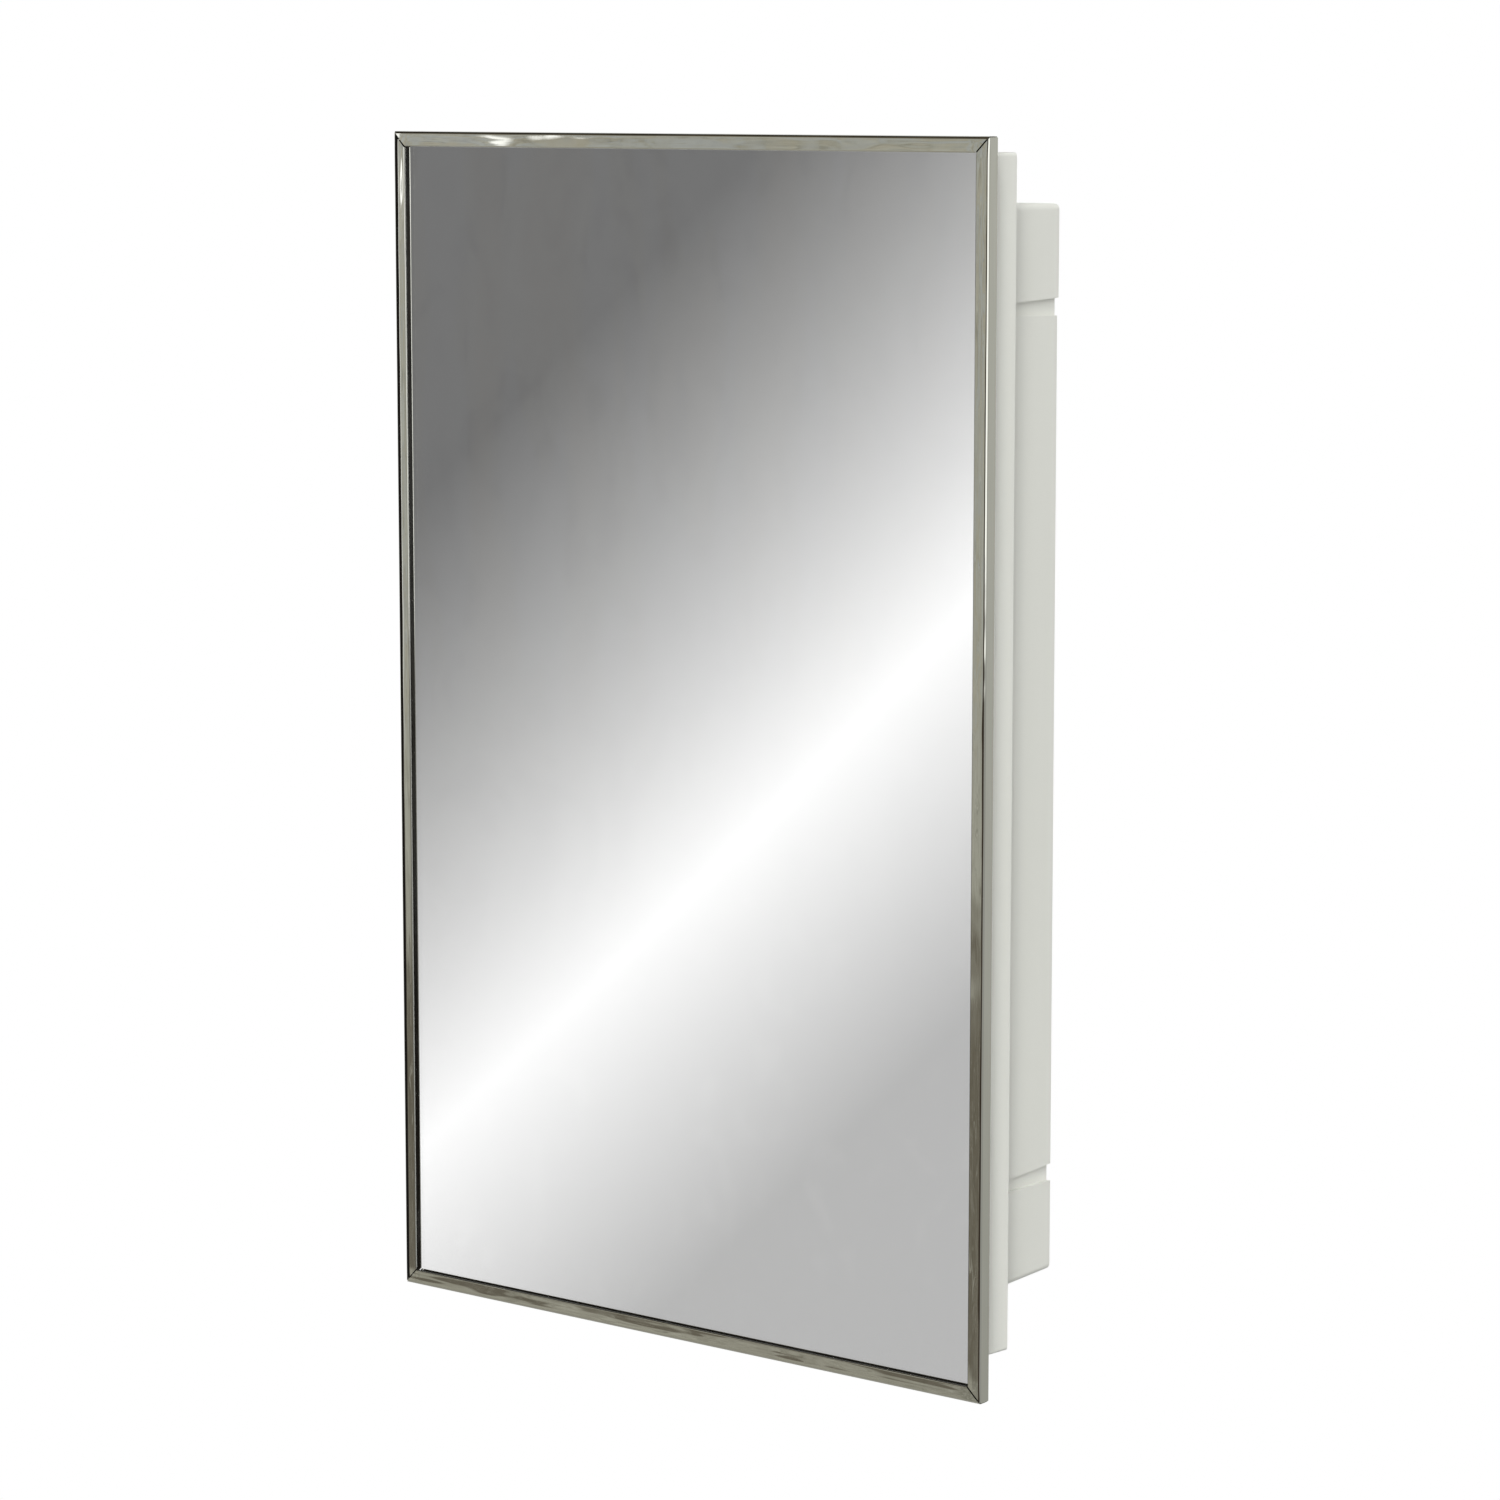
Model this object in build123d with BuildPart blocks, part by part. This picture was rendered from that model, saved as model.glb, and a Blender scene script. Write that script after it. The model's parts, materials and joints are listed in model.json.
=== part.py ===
# Medicine cabinet with a mirrored swing door, in millimetres.
#
# +X is to the right seen from the front, +Y runs into the wall and +Z is up. The origin is the
# centre of the rear face of the moulded body, so the cabinet stands out from Y = 0 towards -Y.
# The door hangs on two butt hinges at its left edge and a magnetic catch holds its right side.
from build123d import *

import os
from math import radians, tan

# --- Overall size ---
cabinet_depth = 111.2
front = -cabinet_depth  # Y of the door's front face

# --- Door ---
door_width = 409.6
door_height = 663.6
door_depth = 8.4
door_drop = 4.7  # the door's centre hangs this far below the body's
door_rear = front + door_depth
door_gap = 1.5  # between the door's rear and the body's flange

# Roll-formed channel round the door. Across it, u runs in from the outer edge and v runs back.
sheet = 0.6
front_lip = 8.4
rear_lip = 12.0
lip_turn = 1.0  # the front lip's edge turns back this far, onto the glass
lip_round = 0.5
front_corner = 1.4
rear_corner = 1.0
mitre_gap = 0.22  # each rail's share of the open mitre joint

# Layers inside the channel, from the front
glass_thickness = 3.0
silver_thickness = 0.1
pad_thickness = 0.8
glass_inset = 2.6  # the glass edge, in from the door's outer edge
panel_inset = 5.0
panel_thickness = door_depth - sheet - lip_turn - glass_thickness - silver_thickness - pad_thickness

# L keys in the gutter between the glass edge and the rail's outer wall
key_thickness = 1.4
key_width = 6.0
key_leg = 30.0
key_start = 0.7
key_front = 1.2
key_screw_place = 18.0  # from the door's corner
key_screw_head = 2.1
key_screw_shank = 1.2
key_screw_length = 2.3
countersink_clearance = 0.05

# --- Moulded body ---
wall = 2.5
draft = 1.8  # degrees, the box narrows towards the wall
box_width = 345.2  # at the rear
box_height = 581.1
box_corner = 3.0
rear_edge_round = 1.2
flange_front = door_rear + door_gap
flange_thickness = 2.5
skirt_width = 384.2  # at the skirt's rear edge
skirt_height = 637.1
skirt_rear = front + 42.9
skirt_wall = 2.2
skirt_flare = 2.4  # degrees, the skirt opens towards the wall
skirt_corner = 2.0

# Grooves that run front to back across the side walls, at the rear end of the draft
groove_place = 236.0  # above and below the box's centre
groove_height = 9.6
groove_depth = 2.5
panel_recess = 0.8  # the side between the grooves sinks this far under the upper one

# Webs between the box and the skirt
web_thickness = 1.8
web_reach = 18.0
web_root = 1.4  # the webs start this far outside the box's rear outline, within its drafted wall
web_tip = 0.4  # and end this far inside the skirt's rear outline, within its flared wall
side_webs = 7
side_web_spacing = 84.0
end_webs = 5
end_web_spacing = 76.0

# Wall screw holes
hole_radius = 2.5
rear_hole_spacing = (254.0, 406.4)
side_hole_spacing = 400.0
side_hole_depth = skirt_rear + 14.0
hole_ring = 7.0
hole_ring_height = 1.5
side_cut_inside = 8.0
side_cut_length = 14.0

# --- Shelves ---
shelf_places = {"lower": -144.0, "middle": 0.0, "upper": 144.0}  # Z of each shelf's top
shelf_thickness = 2.5
shelf_clearance = 0.7
shelf_front = -88.0
shelf_lip_height = 11.0
shelf_lip_drop = 4.0  # the lip hangs this far below the plate
shelf_lip_round = 1.2
ledge_height = 3.0
ledge_reach = 5.0
ledge_front = -84.0

# --- Hinges ---
hinge_places = {"upper": 220.0, "lower": -220.0}
hinge_length = 50.0
leaf_thickness = 1.0
leaf_corner = 3.0
leaf_notch = 3.0
knuckle_radius = 2.5
pin_radius = 1.5
pin_clearance = 0.05
pin_head_radius = 2.3
pin_head_height = 1.2
pin_head_round = 0.9
knuckle_middle = 18.0
knuckle_gap = 0.3
pad_face = -(skirt_width / 2 + 2.1)  # X of the flat hinge pad on the skirt
pad_margin = 2.0
hinge_x = pad_face - knuckle_radius - knuckle_gap
hinge_y = door_rear + knuckle_radius + 0.35
body_leaf_rear = hinge_y + 20.5
body_leaf_screws = hinge_y + 13.0
door_leaf_outer = -door_width / 2 + 1.4
door_leaf_inner = hinge_x - knuckle_radius - 0.4
leaf_hole_spacing = 32.0
rivet_x = (door_leaf_outer + door_leaf_inner) / 2

# --- Magnetic catch ---
catch_z = 70.0
catch_face = 171.0  # X of the flat pad on the right wall
catch_width = 10.0
catch_front = door_rear + 1.2
catch_depth = 14.0
catch_height = 36.0
catch_tab = 2.0
catch_tab_corner = 3.0
catch_tab_height = 56.0
catch_screw_spacing = 46.0
catch_pad_root = 1.6  # the pad starts this far outside the box's rear outline
magnet_size = (4.6, 8.0, 28.0)
magnet_chamfer = 0.4
pocket_spare = 2.0
pole_thickness = 1.0
pole_proud = 0.3
strike_thickness = 1.2
strike_width = 13.0
strike_height = 54.0
strike_corner = 2.0
strike_screw_spacing = 44.0

# --- Small parts ---
screw_radius = 1.45
screw_head_radius = 2.7
screw_head_height = 1.3
screw_length = 6.0
screw_clearance = 0.15
pilot_length = 16.0
rivet_radius = 1.25
rivet_head_radius = 1.6
rivet_head_edge = 0.3
rivet_crown_radius = 1.1
rivet_crown_height = 0.8
rivet_tail_radius = 1.5
rivet_tail = 0.4
strike_screw_radius = 1.0
strike_screw_length = 3.8
strike_screw_head = 2.0
recess_depth = 0.6
recess_length = 2.4
recess_width = 0.55
bumper_radius = 4.0
bumper_height = 1.2
bumper_round = 0.5
bumper_x = 182.0
bumper_z = 304.0

standing = (Align.CENTER, Align.CENTER, Align.MIN)
hanging = (Align.CENTER, Align.CENTER, Align.MAX)
front_view = Plane.XZ  # local x is +X and local y is +Z, and its normal points to the front


def grow(distance, angle):
    """How far a drafted wall moves sideways over a distance along Y."""
    return distance * tan(radians(angle))


def at_depth(y):
    """The front-view plane at the given Y."""
    return front_view.offset(-y)


def box_outline():
    """Right and left sides of the box at its rear, with the grooves and the sunk side panels."""
    half_width = box_width / 2
    half_height = box_height / 2
    upper = groove_place
    lower = -groove_place
    half_groove = groove_height / 2
    right = [
        (half_width, -half_height),
        (half_width, lower - half_groove),
        (half_width - groove_depth, lower - half_groove),
        (half_width - groove_depth, lower + half_groove),
        (half_width, lower + half_groove),
        (half_width - panel_recess, upper - half_groove),
        (half_width - groove_depth, upper - half_groove),
        (half_width - groove_depth, upper + half_groove),
        (half_width, upper + half_groove),
        (half_width, half_height),
    ]
    left = [(-x, z) for x, z in reversed(right)]
    return right + left


def inner_half(y):
    """Half the clear width between the side walls at a depth, clear of the sunk panels."""
    return box_width / 2 - panel_recess - wall + grow(-y, draft)


# --- Body ---
with BuildPart() as body_shell:
    # Skirt: a flared ring that ends at the front in the flange
    skirt_depth = skirt_rear - flange_front
    with BuildSketch(at_depth(skirt_rear)):
        RectangleRounded(skirt_width, skirt_height, skirt_corner)
    extrude(amount=skirt_depth, taper=skirt_flare)
    with BuildSketch(at_depth(skirt_rear)):
        RectangleRounded(skirt_width - 2 * skirt_wall, skirt_height - 2 * skirt_wall, skirt_corner)
    extrude(amount=skirt_depth - flange_thickness, taper=skirt_flare, mode=Mode.SUBTRACT)

    # Webs that tie the skirt to the box
    web_y = flange_front + flange_thickness
    side_inner = box_width / 2 + web_root
    side_outer = skirt_width / 2 - skirt_wall - web_tip
    top_inner = box_height / 2 + web_root
    top_outer = skirt_height / 2 - skirt_wall - web_tip
    with BuildSketch(at_depth(web_y)):
        for side in (1, -1):
            with GridLocations(0, side_web_spacing, 1, side_webs):
                with Locations((side * (side_inner + side_outer) / 2, 0)):
                    Rectangle(side_outer - side_inner, web_thickness)
            with GridLocations(end_web_spacing, 0, end_webs, 1):
                with Locations((0, side * (top_inner + top_outer) / 2)):
                    Rectangle(web_thickness, top_outer - top_inner)
    extrude(amount=-web_reach)

    # Box, outside
    with BuildSketch(at_depth(0)) as outside:
        with BuildLine():
            Polyline(box_outline(), close=True)
        make_face()
        corners = outside.vertices().group_by(SortBy.DISTANCE)[-1]
        fillet(corners, radius=box_corner)
    extrude(amount=-flange_front, taper=-draft)
    fillet(body_shell.edges().group_by(Axis.Y)[-1], radius=rear_edge_round)

    # Box, inside
    with BuildSketch(at_depth(-wall)):
        with BuildLine():
            Polyline(box_outline(), close=True)
        make_face()
        offset(amount=-wall, kind=Kind.INTERSECTION, mode=Mode.REPLACE)
    extrude(amount=cabinet_depth, taper=-draft, mode=Mode.SUBTRACT)

    # Shelf ledges, front to back on both side walls
    for shelf_top in shelf_places.values():
        ledge_bottom = shelf_top - shelf_thickness - ledge_height
        with BuildSketch(Plane.XY.offset(ledge_bottom)):
            with BuildLine():
                Polyline(
                    (inner_half(ledge_front) + wall / 2, ledge_front),
                    (inner_half(-wall) + wall / 2, -wall / 2),
                    (inner_half(-wall) - ledge_reach, -wall / 2),
                    (inner_half(-wall) - ledge_reach, ledge_front),
                    close=True,
                )
            make_face()
            mirror(about=Plane.YZ)
        extrude(amount=ledge_height)

    # Flat pads: two outside on the left for the hinges, one inside on the right for the catch
    pad_inner = -(skirt_width / 2 - skirt_wall)
    pad_depth = body_leaf_rear + pad_margin - flange_front
    for hinge_z in hinge_places.values():
        with BuildSketch(Plane.XY.offset(hinge_z - hinge_length / 2 - pad_margin)):
            with Locations(((pad_face + pad_inner) / 2, flange_front + pad_depth / 2)):
                Rectangle(pad_inner - pad_face, pad_depth)
        extrude(amount=hinge_length + 2 * pad_margin)
    pad_outer = box_width / 2 + catch_pad_root
    pad_depth = catch_front + catch_depth + pad_margin - flange_front
    with BuildSketch(Plane.XY.offset(catch_z - catch_tab_height / 2 - pad_margin)):
        with Locations(((catch_face + pad_outer) / 2, flange_front + pad_depth / 2)):
            Rectangle(pad_outer - catch_face, pad_depth)
    extrude(amount=catch_tab_height + 2 * pad_margin)

    # Screw holes: four through the back, two through each side wall, and the pilots
    with BuildSketch(at_depth(-wall)):
        with GridLocations(*rear_hole_spacing, 2, 2):
            Circle(hole_ring)
    extrude(amount=hole_ring_height)
    with BuildSketch(at_depth(1)):
        with GridLocations(*rear_hole_spacing, 2, 2):
            Circle(hole_radius)
    extrude(amount=wall + hole_ring_height + 2, mode=Mode.SUBTRACT)
    for side in (1, -1):
        with BuildSketch(Plane.YZ.offset(side * (box_width / 2 - side_cut_inside))):
            with Locations((side_hole_depth, 0)):
                with GridLocations(0, side_hole_spacing, 1, 2):
                    Circle(hole_radius)
        extrude(amount=side * side_cut_length, mode=Mode.SUBTRACT)
    for hinge_z in hinge_places.values():
        with BuildSketch(Plane.YZ.offset(pad_face - 1)):
            with Locations((body_leaf_screws, hinge_z)):
                with GridLocations(0, leaf_hole_spacing, 1, 2):
                    Circle(screw_radius)
        extrude(amount=pilot_length / 2, mode=Mode.SUBTRACT)
    for step in (-catch_screw_spacing / 2, catch_screw_spacing / 2):
        with Locations((catch_face, catch_front + catch_depth / 2, catch_z + step)):
            Cylinder(screw_radius, pilot_length, rotation=(0, 90, 0), mode=Mode.SUBTRACT)
body_shell.part.label = "body_shell"


# --- Shelves ---
def shelf(label, top):
    """A moulded shelf: a tapered plate with a lip along its front edge."""
    front_half = inner_half(shelf_front) - shelf_clearance
    rear_half = inner_half(-wall) - shelf_clearance
    rear = -wall - shelf_clearance
    with BuildPart() as made:
        with BuildSketch(Plane.XY.offset(top - shelf_thickness)):
            with BuildLine():
                Polyline(
                    (-front_half, shelf_front),
                    (front_half, shelf_front),
                    (rear_half, rear),
                    (-rear_half, rear),
                    close=True,
                )
            make_face()
        extrude(amount=shelf_thickness)
        with BuildSketch(at_depth(shelf_front)):
            with Locations((0, top - shelf_thickness - shelf_lip_drop + shelf_lip_height / 2)):
                RectangleRounded(2 * front_half, shelf_lip_height, shelf_lip_round)
        extrude(amount=shelf_thickness)
    made.part.label = label
    return made.part


shelves = [shelf(f"shelf_{place}", top) for place, top in shelf_places.items()]


# --- Door frame ---
def key_screw_hole(depth):
    """A countersunk hole for a corner key's screw, at the current location."""
    shank = key_screw_shank + countersink_clearance
    head = key_screw_head + countersink_clearance
    CounterSinkHole(shank, head, depth)


def channel_rail(label, start, inward):
    """One mitred rail, run clockwise round the door from the corner named start."""
    section = Plane(origin=start, x_dir=inward, z_dir=Vector(*inward).cross(Vector(0, 1, 0)))
    length = door_height if inward[0] else door_width
    with BuildPart() as made:
        with BuildSketch(section) as profile:
            with BuildLine():
                Polyline(
                    (0, 0),
                    (front_lip, 0),
                    (front_lip, lip_turn),
                    (front_lip - sheet, lip_turn),
                    (front_lip - sheet, sheet),
                    (sheet, sheet),
                    (sheet, door_depth - sheet),
                    (rear_lip, door_depth - sheet),
                    (rear_lip, door_depth),
                    (0, door_depth),
                    close=True,
                )
            make_face()
            bends = {
                (0, 0): front_corner,
                (sheet, sheet): front_corner - sheet,
                (0, door_depth): rear_corner,
                (sheet, door_depth - sheet): rear_corner - sheet,
                (front_lip, 0): lip_round,
            }
            for place, radius in bends.items():
                fillet(profile.vertices().sort_by_distance(place)[0], radius=radius)
        extrude(amount=length)
        mitre = Plane(origin=start, x_dir=inward, z_dir=(0, -1, 0))
        reach = rear_lip + 1
        with BuildSketch(mitre):
            with BuildLine():
                Polyline(
                    (-1, mitre_gap - 1),
                    (reach, mitre_gap + reach),
                    (reach, length - mitre_gap - reach),
                    (-1, length - mitre_gap + 1),
                    close=True,
                )
            make_face()
        extrude(amount=-door_depth, mode=Mode.INTERSECT)
        if inward[2]:
            # Countersunk holes through the outer wall, for the corner keys' screws
            for along in (key_screw_place, length - key_screw_place):
                across = section.from_local_coords((0, door_depth / 2, along))
                outward = tuple(-part for part in inward)
                with Locations(Plane(origin=across, z_dir=outward)):
                    key_screw_hole(2 * sheet)
        if start[0] < 0 and inward[0]:
            # Rivet holes through the rear lip of the hinge rail
            with BuildSketch(at_depth(door_rear + 1)):
                for hinge_z in hinge_places.values():
                    with Locations((rivet_x, hinge_z)):
                        with GridLocations(0, leaf_hole_spacing, 1, 2):
                            Circle(rivet_radius)
            extrude(amount=3, mode=Mode.SUBTRACT)
    made.part.label = label
    return made.part


door_left = -door_width / 2
door_right = door_width / 2
door_top = door_height / 2 - door_drop
door_bottom = -door_height / 2 - door_drop
rails = [
    channel_rail("frame_rail_top", (door_left, front, door_top), (0, 0, -1)),
    channel_rail("frame_rail_right", (door_right, front, door_top), (-1, 0, 0)),
    channel_rail("frame_rail_bottom", (door_right, front, door_bottom), (0, 0, 1)),
    channel_rail("frame_rail_left", (door_left, front, door_bottom), (1, 0, 0)),
]


def corner_key(label, x_side, z_side):
    """An L of flat bar, standing on edge in the gutter of two rails."""
    corner_x = x_side * (door_width / 2 - key_start)
    corner_z = z_side * (door_height / 2 - key_start) - door_drop
    inner_x = corner_x - x_side * key_thickness
    inner_z = corner_z - z_side * key_thickness
    with BuildPart() as made:
        with BuildSketch(at_depth(front + key_front + key_width)):
            with BuildLine():
                Polyline(
                    (corner_x, corner_z),
                    (corner_x, corner_z - z_side * key_leg),
                    (inner_x, corner_z - z_side * key_leg),
                    (inner_x, inner_z),
                    (corner_x - x_side * key_leg, inner_z),
                    (corner_x - x_side * key_leg, corner_z),
                    close=True,
                )
            make_face()
        extrude(amount=key_width)
        outer = (
            x_side * (door_width / 2 - key_screw_place),
            front + door_depth / 2,
            z_side * door_height / 2 - door_drop,
        )
        with Locations(Plane(origin=outer, z_dir=(0, 0, z_side))):
            key_screw_hole(key_start + 2 * key_thickness)
    made.part.label = label
    return made.part


corner_keys = [
    corner_key(f"corner_key_{row}_{column}", x_side, z_side)
    for row, z_side in (("top", 1), ("bottom", -1))
    for column, x_side in (("left", -1), ("right", 1))
]


def cross_recess():
    """A cross recess cut into a screw's head, at the current locations."""
    Box(recess_length, recess_width, 2 * recess_depth, mode=Mode.SUBTRACT)
    Box(recess_width, recess_length, 2 * recess_depth, mode=Mode.SUBTRACT)


def flat_screw(seat, inward, head_radius, shank_radius, length):
    """A countersunk screw, its flat head at seat and its shank along inward."""
    with Locations(Plane(origin=seat, z_dir=inward)):
        Cone(head_radius, shank_radius, head_radius - shank_radius, align=standing)
        Cylinder(shank_radius, length, align=standing)
        cross_recess()


def pan_screw(seat):
    """A screw in a side wall: its head stands on seat towards -X and its shank runs to +X."""
    with Locations(Plane(origin=seat, x_dir=(0, 1, 0), z_dir=(-1, 0, 0))):
        Cylinder(screw_head_radius, screw_head_height, align=standing)
        Cylinder(screw_radius, screw_length, align=hanging)
    crown = (seat[0] - screw_head_height, seat[1], seat[2])
    with Locations(Plane(origin=crown, x_dir=(0, 1, 0), z_dir=(-1, 0, 0))):
        cross_recess()


with BuildPart() as corner_key_screws:
    for z_side in (1, -1):
        for x_side in (1, -1):
            seat = (
                x_side * (door_width / 2 - key_screw_place),
                front + door_depth / 2,
                z_side * door_height / 2 - door_drop,
            )
            flat_screw(seat, (0, 0, -z_side), key_screw_head, key_screw_shank, key_screw_length)
corner_key_screws.part.label = "corner_key_screws"


# --- Layers in the door ---
def door_layer(label, layer_front, thickness, inset):
    """A flat sheet held in the channel."""
    with BuildPart() as made:
        with BuildSketch(at_depth(layer_front + thickness)):
            with Locations((0, -door_drop)):
                Rectangle(door_width - 2 * inset, door_height - 2 * inset)
        extrude(amount=thickness)
    made.part.label = label
    return made.part


glass_front = front + lip_turn
silver_front = glass_front + glass_thickness
pad_front = silver_front + silver_thickness
panel_front = pad_front + pad_thickness
panel_rear = panel_front + panel_thickness
mirror_glass = door_layer("mirror_glass", glass_front, glass_thickness, glass_inset)
mirror_silvering = door_layer("mirror_silvering", silver_front, silver_thickness, glass_inset)
backing_pad = door_layer("backing_pad", pad_front, pad_thickness, panel_inset)

with BuildPart() as door_back_panel:
    with BuildSketch(at_depth(panel_rear)):
        with Locations((0, -door_drop)):
            Rectangle(door_width - 2 * panel_inset, door_height - 2 * panel_inset)
        with Locations(((catch_face - catch_width / 2), catch_z)):
            with GridLocations(0, strike_screw_spacing, 1, 2):
                Circle(strike_screw_radius, mode=Mode.SUBTRACT)
    extrude(amount=panel_thickness)
door_back_panel.part.label = "door_back_panel"


# --- Hinges ---
def knuckle_spans(centre):
    """Z spans of the three knuckles: lower, middle and upper."""
    half = hinge_length / 2
    middle = knuckle_middle / 2
    return (
        (centre - half, centre - middle - knuckle_gap),
        (centre - middle, centre + middle),
        (centre + middle + knuckle_gap, centre + half),
    )


def hinge_leaf_body(label, centre):
    """The leaf on the skirt's pad, with the two outer knuckles."""
    lower, middle, upper = knuckle_spans(centre)
    with BuildPart() as made:
        for bottom, top in (lower, upper):
            with BuildSketch(Plane.XY.offset(bottom)):
                with Locations((hinge_x, hinge_y)):
                    Circle(knuckle_radius)
            extrude(amount=top - bottom)
        with BuildSketch(Plane.YZ.offset(pad_face - leaf_thickness)) as plate:
            with Locations(((hinge_y + body_leaf_rear) / 2, centre)):
                Rectangle(body_leaf_rear - hinge_y, hinge_length)
            rear_corners = plate.vertices().group_by(Axis.X)[-1]
            fillet(rear_corners, radius=leaf_corner)
            with Locations((hinge_y + leaf_notch / 2, centre)):
                notch_height = middle[1] - middle[0] + 2 * knuckle_gap
                Rectangle(leaf_notch, notch_height, mode=Mode.SUBTRACT)
            with Locations((body_leaf_screws, centre)):
                with GridLocations(0, leaf_hole_spacing, 1, 2):
                    Circle(screw_radius + screw_clearance, mode=Mode.SUBTRACT)
        extrude(amount=leaf_thickness)
        with BuildSketch(Plane.XY.offset(lower[0])):
            with Locations((hinge_x, hinge_y)):
                Circle(pin_radius)
        extrude(amount=hinge_length, mode=Mode.SUBTRACT)
    made.part.label = label
    return made.part


def hinge_leaf_door(label, centre):
    """The leaf on the left rail's rear lip, with the middle knuckle."""
    bottom, top = knuckle_spans(centre)[1]
    with BuildPart() as made:
        with BuildSketch(Plane.XY.offset(bottom)):
            with Locations((hinge_x, hinge_y)):
                Circle(knuckle_radius)
        extrude(amount=top - bottom)
        with BuildSketch(at_depth(door_rear + leaf_thickness)) as plate:
            with Locations(((door_leaf_outer + door_leaf_inner) / 2, centre)):
                Rectangle(door_leaf_inner - door_leaf_outer, hinge_length)
            with Locations(((door_leaf_inner + hinge_x) / 2, centre)):
                Rectangle(hinge_x - door_leaf_inner, top - bottom)
            with Locations((rivet_x, centre)):
                with GridLocations(0, leaf_hole_spacing, 1, 2):
                    Circle(rivet_radius, mode=Mode.SUBTRACT)
        extrude(amount=leaf_thickness)
        with BuildSketch(Plane.XY.offset(bottom)):
            with Locations((hinge_x, hinge_y)):
                Circle(pin_radius + pin_clearance)
        extrude(amount=top - bottom, mode=Mode.SUBTRACT)
    made.part.label = label
    return made.part


def hinge_pin(label, centre):
    """The pin, held in the outer knuckles, with a domed head at its top."""
    with BuildPart() as made:
        with BuildSketch(Plane.XY.offset(centre - hinge_length / 2)):
            with Locations((hinge_x, hinge_y)):
                Circle(pin_radius)
        extrude(amount=hinge_length)
        with BuildSketch(Plane.XY.offset(centre + hinge_length / 2)):
            with Locations((hinge_x, hinge_y)):
                Circle(pin_head_radius)
        extrude(amount=pin_head_height)
        fillet(made.edges().group_by(Axis.Z)[-1], radius=pin_head_round)
    made.part.label = label
    return made.part


hinge_parts = []
for place, centre in hinge_places.items():
    hinge_parts.append(hinge_leaf_body(f"hinge_leaf_body_{place}", centre))
    hinge_parts.append(hinge_leaf_door(f"hinge_leaf_door_{place}", centre))
    hinge_parts.append(hinge_pin(f"hinge_pin_{place}", centre))

with BuildPart() as hinge_body_screws:
    for hinge_z in hinge_places.values():
        for step in (-leaf_hole_spacing / 2, leaf_hole_spacing / 2):
            pan_screw((pad_face - leaf_thickness, body_leaf_screws, hinge_z + step))
hinge_body_screws.part.label = "hinge_body_screws"

with BuildPart() as hinge_door_rivets:
    grip = leaf_thickness + sheet
    for hinge_z in hinge_places.values():
        for step in (-leaf_hole_spacing / 2, leaf_hole_spacing / 2):
            seat = (rivet_x, door_rear + leaf_thickness, hinge_z + step)
            with BuildSketch(Plane(origin=seat, x_dir=(1, 0, 0), z_dir=(0, 0, 1))):
                with BuildLine():
                    Polyline(
                        (0, rivet_crown_height),
                        (rivet_crown_radius, rivet_crown_height),
                        (rivet_head_radius, rivet_head_edge),
                        (rivet_head_radius, 0),
                        (rivet_radius, 0),
                        (rivet_radius, -grip),
                        (rivet_tail_radius, -grip),
                        (rivet_tail_radius, -grip - rivet_tail),
                        (0, -grip - rivet_tail),
                        close=True,
                    )
                make_face()
            revolve(axis=Axis(seat, (0, 1, 0)))
hinge_door_rivets.part.label = "hinge_door_rivets"


# --- Magnetic catch ---
catch_mid = catch_face - catch_width / 2
magnet_x, magnet_y, magnet_z = magnet_size
pocket_width = magnet_x + 2 * pole_thickness
pocket_depth = magnet_y + pocket_spare

with BuildPart() as catch_housing:
    with BuildSketch(Plane.XY.offset(catch_z - catch_height / 2)):
        with Locations((catch_mid, catch_front + catch_depth / 2)):
            Rectangle(catch_width, catch_depth)
    extrude(amount=catch_height)
    with BuildSketch(Plane.YZ.offset(catch_face - catch_tab)):
        with Locations((catch_front + catch_depth / 2, catch_z)):
            RectangleRounded(catch_depth, catch_tab_height, catch_tab_corner)
            with GridLocations(0, catch_screw_spacing, 1, 2):
                Circle(screw_radius + screw_clearance, mode=Mode.SUBTRACT)
    extrude(amount=catch_tab)
    with BuildSketch(at_depth(catch_front + pocket_depth)):
        with Locations((catch_mid, catch_z)):
            Rectangle(pocket_width, magnet_z)
    extrude(amount=pocket_depth, mode=Mode.SUBTRACT)
catch_housing.part.label = "catch_housing"

with BuildPart() as catch_magnet:
    with BuildSketch(at_depth(catch_front + pocket_depth)):
        with Locations((catch_mid, catch_z)):
            Rectangle(magnet_x, magnet_z)
    extrude(amount=magnet_y)
    chamfer(catch_magnet.edges().filter_by(Axis.X), length=magnet_chamfer)
catch_magnet.part.label = "catch_magnet"

with BuildPart() as catch_pole_plates:
    with BuildSketch(at_depth(catch_front + pocket_depth)):
        with Locations((catch_mid, catch_z)):
            with GridLocations(magnet_x + pole_thickness, 0, 2, 1):
                Rectangle(pole_thickness, magnet_z)
    extrude(amount=pocket_depth + pole_proud)
catch_pole_plates.part.label = "catch_pole_plates"

with BuildPart() as catch_screws:
    for step in (-catch_screw_spacing / 2, catch_screw_spacing / 2):
        pan_screw((catch_face - catch_tab, catch_front + catch_depth / 2, catch_z + step))
catch_screws.part.label = "catch_screws"

strike_rear = panel_rear + strike_thickness
with BuildPart() as strike_plate:
    with BuildSketch(at_depth(strike_rear)):
        with Locations((catch_mid, catch_z)):
            RectangleRounded(strike_width, strike_height, strike_corner)
    extrude(amount=strike_thickness)
    rear_side = Plane(origin=(catch_mid, strike_rear, catch_z), x_dir=(1, 0, 0), z_dir=(0, 1, 0))
    with Locations(rear_side):
        with GridLocations(0, strike_screw_spacing, 1, 2):
            CounterSinkHole(
                strike_screw_radius + countersink_clearance,
                strike_screw_head + countersink_clearance,
                strike_thickness,
            )
strike_plate.part.label = "strike_plate"

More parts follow.
